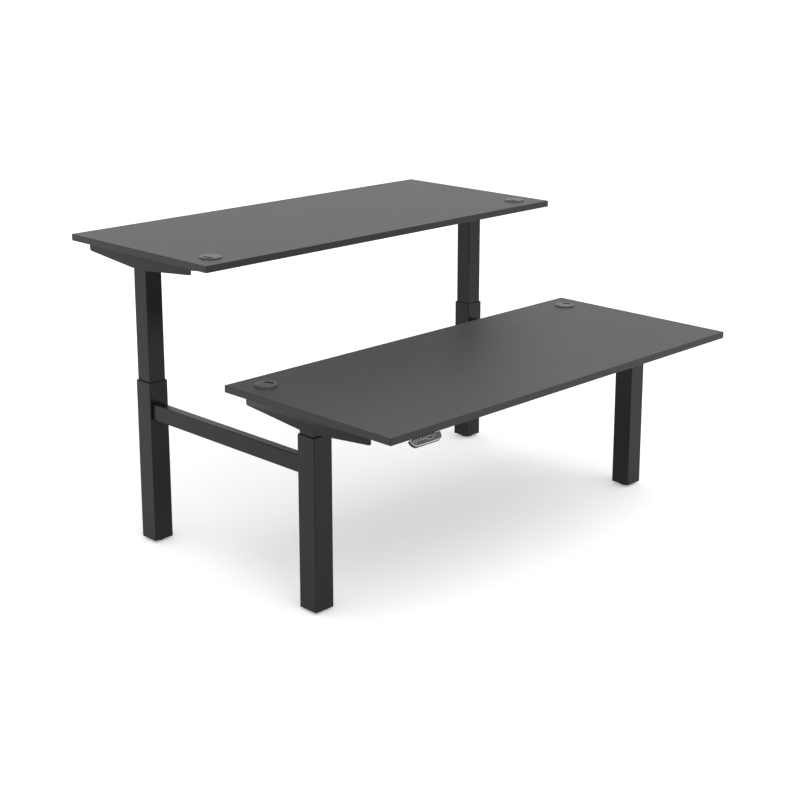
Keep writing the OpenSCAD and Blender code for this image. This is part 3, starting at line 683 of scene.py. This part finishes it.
def bridge(bm, rings, closed=True):
    """Joins each ring of vertices to the next with quads."""
    following = rings[1:] + (rings[:1] if closed else [])
    for ring, above in zip(rings, following):
        count = len(ring)
        for i in range(count):
            j = (i + 1) % count
            bm.faces.new((ring[i], ring[j], above[j], above[i]))


def edge_band_mesh(desk, details):
    """Band round the board with rounded outer arrises, drawn as rings about its profile."""
    low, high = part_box(f"edge_band_{desk}")
    board_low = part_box(f"desktop_{desk}")[0]
    middle = (low + high) / 2
    size = high - low
    thickness = board_low.x - low.x
    outer_radius = thickness + MILLIMETRE
    arris = details.edge_arris
    arc_steps, corner_steps = 4, 6
    profile = [(thickness, 0)]
    for base, start in ((arris, 0.5), (size.z - arris, 0.25)):
        for step in range(arc_steps + 1):
            angle = (start - 0.25 * step / arc_steps) * TURN
            profile.append((arris - arris * math.sin(angle), base + arris * math.cos(angle)))
    profile.append((thickness, size.z))
    bm = bmesh.new()
    rings = []
    for inset, height in profile:
        outline = rounded_loop(
            size.x - 2 * inset, size.y - 2 * inset, [outer_radius - inset] * 4, corner_steps
        )
        rings.append([
            bm.verts.new((middle.x + x, middle.y + y, low.z + height)) for x, y in outline
        ])
    bridge(bm, rings)
    return mesh_from(bm, f"edge_band_rounded_{desk}")


def add_stroke(bm, plane, points, stroke, height):
    """Raises a line of even width along a few points of a plane, with mitred corners."""
    line = [Vector(point) for point in points]
    rings = []
    for i, point in enumerate(line):
        before = (point - line[i - 1]).normalized() if i else None
        after = (line[i + 1] - point).normalized() if i + 1 < len(line) else None
        way = ((before or after) + (after or before)).normalized()
        side = Vector((-way.y, way.x))
        lean = side.dot(Vector((-(before or after).y, (before or after).x)))
        reach = side * stroke / 2 / max(lean, 0.3)
        left, right = point + reach, point - reach
        corners = ((left, 0), (left, height), (right, height), (right, 0))
        rings.append([bm.verts.new(plane.point(*place, level)) for place, level in corners])
    bridge(bm, rings, closed=False)
    bm.faces.new(rings[0])
    bm.faces.new(rings[-1][::-1])


def add_frame(bm, plane, middle, size, stroke, radii, height):
    """Raises a rounded rectangular outline on a plane."""
    rings = []
    for inset, level in ((0, 0), (0, height), (stroke, height), (stroke, 0)):
        inner_radii = [max(radius - inset, 0.1 * MILLIMETRE) for radius in radii]
        outline = rounded_loop(size[0] - 2 * inset, size[1] - 2 * inset, inner_radii, 8)
        rings.append([
            bm.verts.new(plane.point(middle[0] + x, middle[1] + y, level)) for x, y in outline
        ])
    bridge(bm, rings)


def add_dome(bm, plane, middle, radius, height):
    """Raises a round lens on a plane."""
    sides, levels = 20, 4
    rings = []
    for level in range(levels):
        angle = level / levels * TURN / 4
        reach, rise = radius * math.cos(angle), height * math.sin(angle)
        rings.append([
            bm.verts.new(plane.point(
                middle[0] + reach * math.cos(TURN * side / sides),
                middle[1] + reach * math.sin(TURN * side / sides), rise,
            ))
            for side in range(sides)
        ])
    bridge(bm, rings, closed=False)
    bm.faces.new(rings[-1])
    bm.faces.new(rings[0][::-1])


# ---------------------------------------------------------------- operators


class BenchOperator(bpy.types.Operator):
    """Base of the bench's operators"""

    bl_options = {"REGISTER", "UNDO"}

    def execute(self, context):
        scene = context.scene
        self.make(scene.bench_finishes, scene.bench_details)
        return {"FINISHED"}


class BENCH_OT_frame(BenchOperator):
    """Powder-coats the columns, beams, arms and rails"""

    bl_idname = "bench.frame"
    bl_label = "Powder-coat the frame"

    def make(self, finishes, details):
        dress("powder_coat", powder_coat_material(finishes))
        for side in SIDES:
            soften(f"side_beam_{side}", details.sheet_arris)
            for desk in DESKS:
                soften(f"arm_{desk}_{side}", details.sheet_arris)
                soften(f"outer_column_{desk}_{side}", details.sheet_arris)


class BENCH_OT_desktops(BenchOperator):
    """Lays the laminate on both boards"""

    bl_idname = "bench.desktops"
    bl_label = "Finish the desktops"

    def make(self, finishes, details):
        dress("desktop_laminate", laminate_material(finishes))


class BENCH_OT_edge_bands(BenchOperator):
    """Puts a band with rounded arrises round each board"""

    bl_idname = "bench.edge_bands"
    bl_label = "Edge the desktops"

    def make(self, finishes, details):
        material = edge_band_material(finishes)
        for desk in DESKS:
            mesh = edge_band_mesh(desk, details)
            band = add_piece(mesh.name, mesh, material, f"desk_{desk}")
            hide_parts(f"edge_band_{desk}")


class BENCH_OT_cable_ports(BenchOperator):
    """Finishes the liners and lids of the cable ports"""

    bl_idname = "bench.cable_ports"
    bl_label = "Finish the cable ports"

    def make(self, finishes, details):
        dress("port_plastic", port_material(finishes))
        for desk in DESKS:
            for side in SIDES:
                soften(f"port_lid_{desk}_{side}", details.plastic_arris)


class BENCH_OT_handsets(BenchOperator):
    """Finishes the handsets and prints their marks"""

    bl_idname = "bench.handsets"
    bl_label = "Finish the handsets"

    def make(self, finishes, details):
        ink_and_highlight = print_and_highlight_material(finishes)
        dress("key_plastic", key_material(finishes))
        for desk in DESKS:
            case, display = f"handset_case_{desk}", f"handset_display_{desk}"
            dress("handset_plastic", handset_material(finishes, desk), case)
            dress("display", display_material(finishes, desk), display)
            soften(case, details.plastic_arris)
            for key in KEYS:
                soften(f"key_{key}_{desk}", details.plastic_arris)
                self.print_key(desk, key, ink_and_highlight, details)
            self.print_face_and_paint_highlight(desk, ink_and_highlight, details)

    def print_key(self, desk, key, ink_and_highlight, details):
        """Prints an arrow or a plain numeral on a key cap."""
        plane = Plane(f"key_{key}_{desk}", handset_axes(desk))
        lines = {
            "down": [(-1, 0.5), (0, -0.5), (1, 0.5)],
            "up": [(-1, -0.5), (0, 0.5), (1, -0.5)],
            "memory": [(-0.4, 0.6), (0.1, 1), (0.1, -1)],
        }
        half = details.mark_size / 2
        points = [(half * x, half * y + details.mark_shift) for x, y in lines[key]]
        bm = bmesh.new()
        add_stroke(bm, plane, points, details.mark_stroke, details.mark_height)
        name = f"{key}_mark_{desk}"
        add_piece(name, mesh_from(bm, name), ink_and_highlight, f"key_{key}_{desk}")

    def print_face_and_paint_highlight(self, desk, ink_and_highlight, details):
        """Draws a pale line along the face's free lower edge and one end as a painted highlight of their rounding,
        an outline of the display, dashes and lenses.
        """
        axes = handset_axes(desk)
        plane = Plane(f"handset_case_{desk}", axes)
        window = Plane(f"handset_display_{desk}", axes)
        keys = [Plane(f"key_{key}_{desk}", axes) for key in KEYS]
        places = [plane.place_of(key) for key in keys]
        (first_x, key_y), key_half = places[0], keys[0].size[0] / 2
        pitch = (places[-1][0] - first_x) / (len(KEYS) - 1)
        height, stroke, lens = details.mark_height, details.mark_stroke, details.lens_radius
        bm = bmesh.new()
        steps = 8
        low_radius = details.face_radius - details.painted_highlight_inset
        width, depth = (side - 2 * details.painted_highlight_inset for side in plane.size[:2])
        edge = rounded_loop(width, depth, [MILLIMETRE, MILLIMETRE, low_radius, low_radius], steps)
        # Painted highlight: a pale stroke along the rounded lower edge and one end of the face, left off the
        # shaded upper edge.
        add_stroke(bm, plane, edge[2 * steps + 1:], details.painted_highlight_stroke, height)
        x, y = plane.place_of(window)
        size = [side + stroke for side in window.size[:2]]
        add_frame(bm, plane, (x, y), size, stroke / 2, [MILLIMETRE] * 4, height)
        for gap in range(len(KEYS) + 2):
            middle = first_x + (gap - 0.5) * pitch
            dash = [(middle + side * 2 * stroke, key_y - key_half / 2) for side in (-1, 1)]
            add_stroke(bm, plane, dash, stroke, height)
        lenses = (
            (first_x + len(KEYS) * pitch, key_y + details.mark_shift),
            (first_x, key_y - key_half - 3 * lens),
            (x + size[0] / 2 + pitch * 0.7, y + window.size[1] / 4),
        )
        for place in lenses:
            add_dome(bm, plane, place, lens, 2 * height)
        name = f"face_marks_{desk}"
        add_piece(name, mesh_from(bm, name), ink_and_highlight, f"desk_{desk}")


class BENCH_OT_control_boxes(BenchOperator):
    """Finishes the control boxes and their circuit boards"""

    bl_idname = "bench.control_boxes"
    bl_label = "Finish the control boxes"

    def make(self, finishes, details):
        dress("case_plastic", moulded_material("case_plastic", finishes.case, 0.5))
        for desk in DESKS:
            soften(f"control_box_{desk}", details.plastic_arris)
            dress("circuit_board", circuit_material(finishes, desk), f"control_board_{desk}")


class BENCH_OT_drives(BenchOperator):
    """Finishes the motors, spindles, nuts and glides inside the columns"""

    bl_idname = "bench.drives"
    bl_label = "Finish the drives"

    def make(self, finishes, details):
        dress("motor_metal", motor_material(finishes))
        dress("nut_plastic", moulded_material("nut_plastic", finishes.acetal, 0.38))
        dress("glide_plastic", moulded_material("glide_plastic", finishes.glide, 0.34))
        spindle = spindle_material(finishes)
        for desk in DESKS:
            for side in SIDES:
                dress("zinc_steel", spindle, f"spindle_{desk}_{side}")


class BENCH_OT_fasteners(BenchOperator):
    """Plates the screws and the nut pillars with zinc"""

    bl_idname = "bench.fasteners"
    bl_label = "Plate the fasteners"

    def make(self, finishes, details):
        dress("zinc_steel", zinc_material(finishes))


class BENCH_OT_feet(BenchOperator):
    """Finishes the levelling feet"""

    bl_idname = "bench.feet"
    bl_label = "Finish the levelling feet"

    def make(self, finishes, details):
        dress("foot_plastic", foot_material(finishes))


class BENCH_OT_stage(bpy.types.Operator):
    """Sets up the floor, the light and the camera"""

    bl_idname = "bench.stage"
    bl_label = "Set the stage"

    def execute(self, context):
        studio = context.scene.bench_studio
        self.lay_floor(studio)
        self.light(context.scene, studio)
        self.place_camera(context.scene, studio)
        return {"FINISHED"}

    def lay_floor(self, studio):
        """Pale floor that fades into the background and keeps the bench's shadow."""
        half = studio.floor_size / 2
        bm = bmesh.new()
        ways = ((-1, -1), (1, -1), (1, 1), (-1, 1))
        bm.faces.new([bm.verts.new((half * x, half * y, 0)) for x, y in ways])
        mesh = bpy.data.meshes.new("studio_floor")
        bm.to_mesh(mesh)
        bm.free()
        r = new_recipe("studio_floor")
        mottle = r.noise(r.coordinates(), 0.4, detail=3)
        matt = r.node("ShaderNodeBsdfDiffuse", inputs={
            "Color": r.mix(mottle * 0.1, studio.floor, shade(studio.floor, 0.97))
        })
        camera, glossy, through = (
            r.node("ShaderNodeLightPath", output=f"Is {ray} Ray")
            for ray in ("Camera", "Glossy", "Transmission")
        )
        seen = camera + glossy + through
        glow = r.node("ShaderNodeEmission", inputs={"Strength": seen * studio.glow})
        mesh.materials.append(r.ends_in(r.node("ShaderNodeAddShader", inputs={0: matt, 1: glow})))
        floor = bpy.data.objects.new("studio_floor", mesh)
        bpy.context.scene.collection.objects.link(floor)

    def light(self, scene, studio):
        """White light from all round, and a large soft key from above the front desk's user."""
        world = bpy.data.worlds.new("studio_sky")
        scene.world = world
        r = Recipe(world)
        sky = {"Color": (1, 1, 1, 1), "Strength": studio.sky}
        r.ends_in(r.node("ShaderNodeBackground", inputs=sky))
        lamp = bpy.data.lights.new("key_light", "SUN")
        lamp.energy = studio.sun
        lamp.angle = studio.sun_spread
        key = bpy.data.objects.new("key_light", lamp)
        key.rotation_euler = Vector(studio.sun_way).to_track_quat("-Z", "Y").to_euler()
        scene.collection.objects.link(key)

    def place_camera(self, scene, studio):
        camera = bpy.data.cameras.new("studio_camera")
        camera.sensor_width = SENSOR_WIDTH
        camera.lens = studio.lens
        camera.shift_y = studio.shift
        camera.clip_end = VIEW_DEPTH
        eye = bpy.data.objects.new("studio_camera", camera)
        eye.location = studio.camera_place
        eye.rotation_euler = (math.pi / 2 - studio.camera_dip, 0, -studio.camera_heading)
        scene.collection.objects.link(eye)
        scene.camera = eye
        scene.view_settings.view_transform = "Standard"


class BENCH_PT_panel(bpy.types.Panel):
    """Lists the bench's finishes, sizes and studio in the sidebar"""

    bl_idname = "BENCH_PT_panel"
    bl_label = "Sit-stand bench"
    bl_space_type = "VIEW_3D"
    bl_region_type = "UI"
    bl_category = "Bench"

    def draw(self, context):
        for operator in OPERATORS:
            self.layout.operator(operator.bl_idname)
        for group in PROPERTY_GROUPS:
            box = self.layout.box()
            for name in PROPERTY_GROUPS[group].__annotations__:
                box.prop(getattr(context.scene, group), name)


OPERATORS = (
    BENCH_OT_frame, BENCH_OT_desktops, BENCH_OT_edge_bands, BENCH_OT_cable_ports, BENCH_OT_handsets,
    BENCH_OT_control_boxes, BENCH_OT_fasteners, BENCH_OT_drives, BENCH_OT_feet, BENCH_OT_stage,
)
PROPERTY_GROUPS = {
    "bench_finishes": BenchFinishes, "bench_details": BenchDetails, "bench_studio": BenchStudio
}


def register():
    for kind in (*PROPERTY_GROUPS.values(), *OPERATORS, BENCH_PT_panel):
        bpy.utils.register_class(kind)
    for name, group in PROPERTY_GROUPS.items():
        setattr(bpy.types.Scene, name, PointerProperty(type=group))


def unregister():
    for name in PROPERTY_GROUPS:
        delattr(bpy.types.Scene, name)
    for kind in (BENCH_PT_panel, *OPERATORS[::-1], *PROPERTY_GROUPS.values()):
        bpy.utils.unregister_class(kind)


def main():
    register()
    for operator in OPERATORS:
        getattr(bpy.ops.bench, operator.bl_idname.split(".")[1])()


if __name__ == "__main__":
    main()
